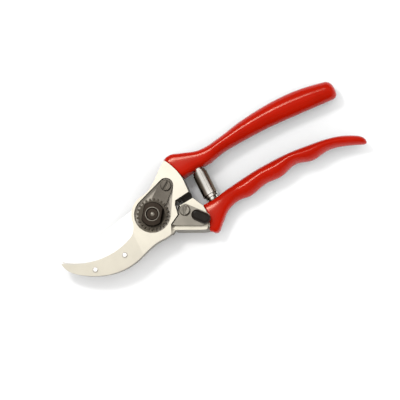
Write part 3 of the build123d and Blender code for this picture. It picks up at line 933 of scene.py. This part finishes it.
def studio_world():
    """A white tent: even light on matt faces, and for reflections a bright roof over brown, dim walls."""
    world = bpy.data.worlds.new("studio")
    world.use_nodes = True
    tree = world.node_tree
    link = tree.links.new
    even = tree.nodes["Background"]
    even.inputs["Color"].default_value = WHITE
    even.inputs["Strength"].default_value = TENT_STRENGTH
    roof = add_node(tree, "Background")
    place = add_node(tree, "TexCoord")
    split = add_node(tree, "SeparateXYZ")
    link(place.outputs["Generated"], split.inputs["Vector"])
    ramp = add_node(tree, "ValToRGB")
    while len(ramp.color_ramp.elements) < len(TENT_TONES):
        ramp.color_ramp.elements.new(0.5)
    for element, (position, tone) in zip(ramp.color_ramp.elements, TENT_TONES):
        element.position = position
        element.color = tone
    link(split.outputs["Z"], ramp.inputs["Fac"])
    link(ramp.outputs["Color"], roof.inputs["Color"])
    ray = add_node(tree, "LightPath")
    mix = add_node(tree, "MixShader")
    link(ray.outputs["Is Glossy Ray"], mix.inputs["Fac"])
    link(even.outputs["Background"], mix.inputs[1])
    link(roof.outputs["Background"], mix.inputs[2])
    link(mix.outputs["Shader"], tree.nodes["World Output"].inputs["Surface"])
    return world


def pale_floor(context):
    """A plain pale floor under the shears."""
    colours, _ = settings()
    work = bmesh.new()
    under = Matrix.Translation((0, 0, CAD_BOX[0][2]))
    bmesh.ops.create_grid(work, x_segments=1, y_segments=1, size=FLOOR_SIZE, matrix=under)
    mesh = bpy.data.meshes.new("floor")
    work.to_mesh(mesh)
    work.free()
    floor = bpy.data.objects.new("floor", mesh)
    context.scene.collection.objects.link(floor)
    material = bpy.data.materials.new("Floor Paper")
    material.use_nodes = True
    shader = material.node_tree.nodes["Principled BSDF"]
    shader.inputs["Base Color"].default_value = tuple(colours.floor)
    shader.inputs["Roughness"].default_value = FLOOR_ROUGHNESS
    mesh.materials.append(material)


def view_directions():
    """The view's right and up along the floor."""
    _, sizes = settings()
    roll = sizes.camera_roll
    return Vector((math.cos(roll), -math.sin(roll), 0.0)), Vector((math.sin(roll), math.cos(roll), 0.0))


def add_camera(context):
    """The camera, leaning a little from straight down."""
    _, sizes = settings()
    right, up = view_directions()
    lean = (right - up).normalized()
    back = (lean * math.sin(sizes.camera_tilt) + Vector((0, 0, 1)) * math.cos(sizes.camera_tilt)).normalized()
    across = (right - back * right.dot(back)).normalized()
    over = back.cross(across)
    data = bpy.data.cameras.new("camera")
    data.sensor_width = SENSOR_WIDTH
    data.lens = SENSOR_WIDTH * sizes.camera_distance / sizes.view_width
    data.clip_end = VIEW_DEPTH
    camera = bpy.data.objects.new("camera", data)
    context.scene.collection.objects.link(camera)
    turn = Matrix((across, over, back)).transposed().to_4x4()
    camera.matrix_world = Matrix.Translation(VIEW_CENTRE + back * sizes.camera_distance) @ turn
    context.scene.camera = camera


def add_lamp(context, name, offset, width, power):
    """A soft square lamp, placed by the view's right, up and height, aimed at the shears."""
    right, up = view_directions()
    data = bpy.data.lights.new(name, "AREA")
    data.shape = "SQUARE"
    data.size = width
    data.energy = power
    lamp = bpy.data.objects.new(name, data)
    context.scene.collection.objects.link(lamp)
    spot = VIEW_CENTRE + right * offset[0] + up * offset[1] + Vector((0, 0, offset[2]))
    aim = (spot - VIEW_CENTRE).to_track_quat("Z", "Y")
    lamp.matrix_world = Matrix.Translation(spot) @ aim.to_matrix().to_4x4()
    return lamp


class SHEARS_OT_stage(bpy.types.Operator):
    """Pale floor, soft studio light and the camera"""

    bl_idname = "shears.stage"
    bl_label = "Stage"

    def execute(self, context):
        pale_floor(context)
        add_camera(context)
        add_lamp(context, *KEY_LAMP)
        add_lamp(context, *FILL_LAMP)
        grips = [bpy.data.objects[node + SKIN] for node, _, _ in GRIPS if node + SKIN in bpy.data.objects]
        if grips:
            sheen = add_lamp(context, *SHEEN_LAMP)
            sheen.visible_diffuse = False
            lit = bpy.data.collections.new("lit by sheen")
            for grip in grips:
                lit.objects.link(grip)
            sheen.light_linking.receiver_collection = lit
        context.scene.world = studio_world()
        context.scene.view_settings.view_transform = "Standard"
        return {"FINISHED"}


# --- panel -------------------------------------------------------------------------------------------


class SHEARS_PT_panel(bpy.types.Panel):
    """Settings and builders of the pruning shears"""

    bl_idname = "SHEARS_PT_panel"
    bl_label = "Pruning Shears"
    bl_space_type = "VIEW_3D"
    bl_region_type = "UI"
    bl_category = "Shears"

    def draw(self, context):
        layout = self.layout
        for group in (context.scene.shears_colours, context.scene.shears_sizes):
            box = layout.box()
            for key in group.__annotations__:
                box.prop(group, key)
        for operator in OPERATORS:
            layout.operator(operator.bl_idname)


OPERATORS = (
    SHEARS_OT_castings,
    SHEARS_OT_grips,
    SHEARS_OT_blades,
    SHEARS_OT_pivot,
    SHEARS_OT_catch,
    SHEARS_OT_cushion,
    SHEARS_OT_spring,
    SHEARS_OT_stage,
)
CLASSES = (ShearsColours, ShearsSizes) + OPERATORS + (SHEARS_PT_panel,)


def register():
    """Adds the settings, builders and panel."""
    for item in CLASSES:
        bpy.utils.register_class(item)
    bpy.types.Scene.shears_colours = PointerProperty(type=ShearsColours)
    bpy.types.Scene.shears_sizes = PointerProperty(type=ShearsSizes)


def unregister():
    """Removes them again."""
    del bpy.types.Scene.shears_sizes
    del bpy.types.Scene.shears_colours
    for item in reversed(CLASSES):
        bpy.utils.unregister_class(item)


def main():
    """Builds every piece."""
    register()
    bpy.ops.shears.castings()
    bpy.ops.shears.grips()
    bpy.ops.shears.blades()
    bpy.ops.shears.pivot()
    bpy.ops.shears.catch()
    bpy.ops.shears.cushion()
    bpy.ops.shears.spring()
    bpy.ops.shears.stage()


if __name__ == "__main__":
    main()
